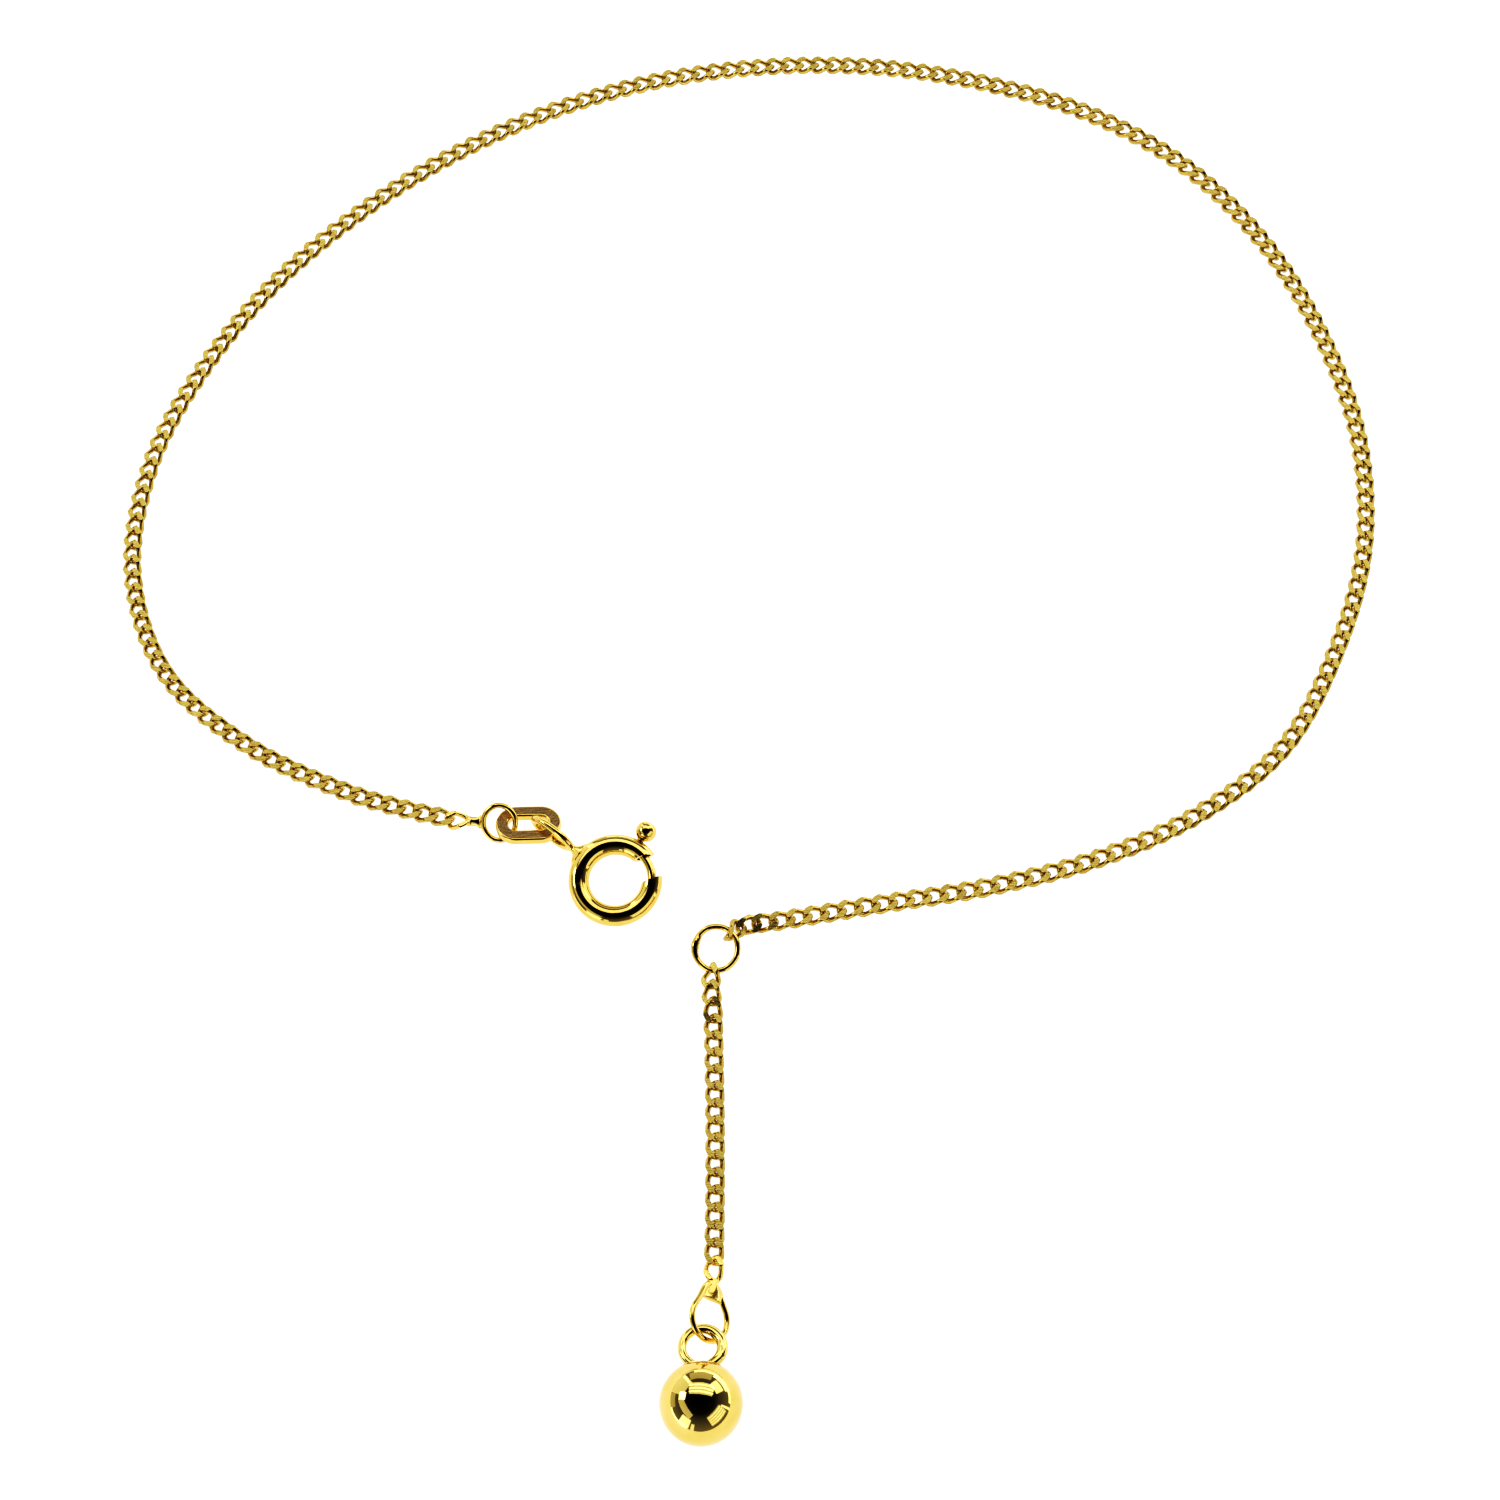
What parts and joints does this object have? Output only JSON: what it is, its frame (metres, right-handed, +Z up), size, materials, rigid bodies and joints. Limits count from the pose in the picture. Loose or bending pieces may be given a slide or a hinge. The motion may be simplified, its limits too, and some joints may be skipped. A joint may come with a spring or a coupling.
{
  "type": "chain anklet",
  "caption": "Fine curb-chain anklet closed by a spring ring, with a short extender chain that ends in a polished ball.",
  "frame": {"origin": "middle of the anklet's outline, on the surface it lies on", "axes": "+Z up from the surface; +Y from the ball towards the top of the loop, the longest way; +X to the right of it"},
  "size_m": [0.0847, 0.1, 0.0049],
  "materials": {
    "polished_gold": "polished yellow gold",
    "brushed_gold": "brushed yellow gold with polished edges"
  },
  "bodies": {
    "anklet": {"main_chain": "polished_gold", "clasp_end_link_1": "polished_gold", "clasp_end_link_2": "polished_gold", "ring_end_link_1": "polished_gold", "ring_end_link_2": "polished_gold", "ring_end_link_3": "polished_gold", "clasp_end_connector": "polished_gold", "oval_link": "brushed_gold", "spring_ring_body": "polished_gold", "extender_jump_ring": "polished_gold", "extender_link_01": "polished_gold", "extender_link_02": "polished_gold", "extender_link_03": "polished_gold", "extender_link_04": "polished_gold", "extender_link_05": "polished_gold", "extender_link_06": "polished_gold", "extender_link_07": "polished_gold", "extender_link_08": "polished_gold", "extender_link_09": "polished_gold", "extender_link_10": "polished_gold", "extender_link_11": "polished_gold", "extender_link_12": "polished_gold", "extender_link_13": "polished_gold", "extender_link_14": "polished_gold", "extender_link_15": "polished_gold", "extender_link_16": "polished_gold", "extender_link_17": "polished_gold", "ball_end_connector": "polished_gold", "ball_drop": "polished_gold"},
    "bolt": {"spring_ring_bolt": "polished_gold"}
  },
  "joints": [
    {"name": "bolt_slide_back", "type": "hinge", "parent": "anklet", "child": "bolt", "pos_m": [-0.00837, -0.01451, 0.00096], "axis": [0, -0.1219, 0.9925], "range_deg": [0, 41], "stiffness_Nm_per_rad": 0.001, "springref_deg": -28.65}
  ]
}
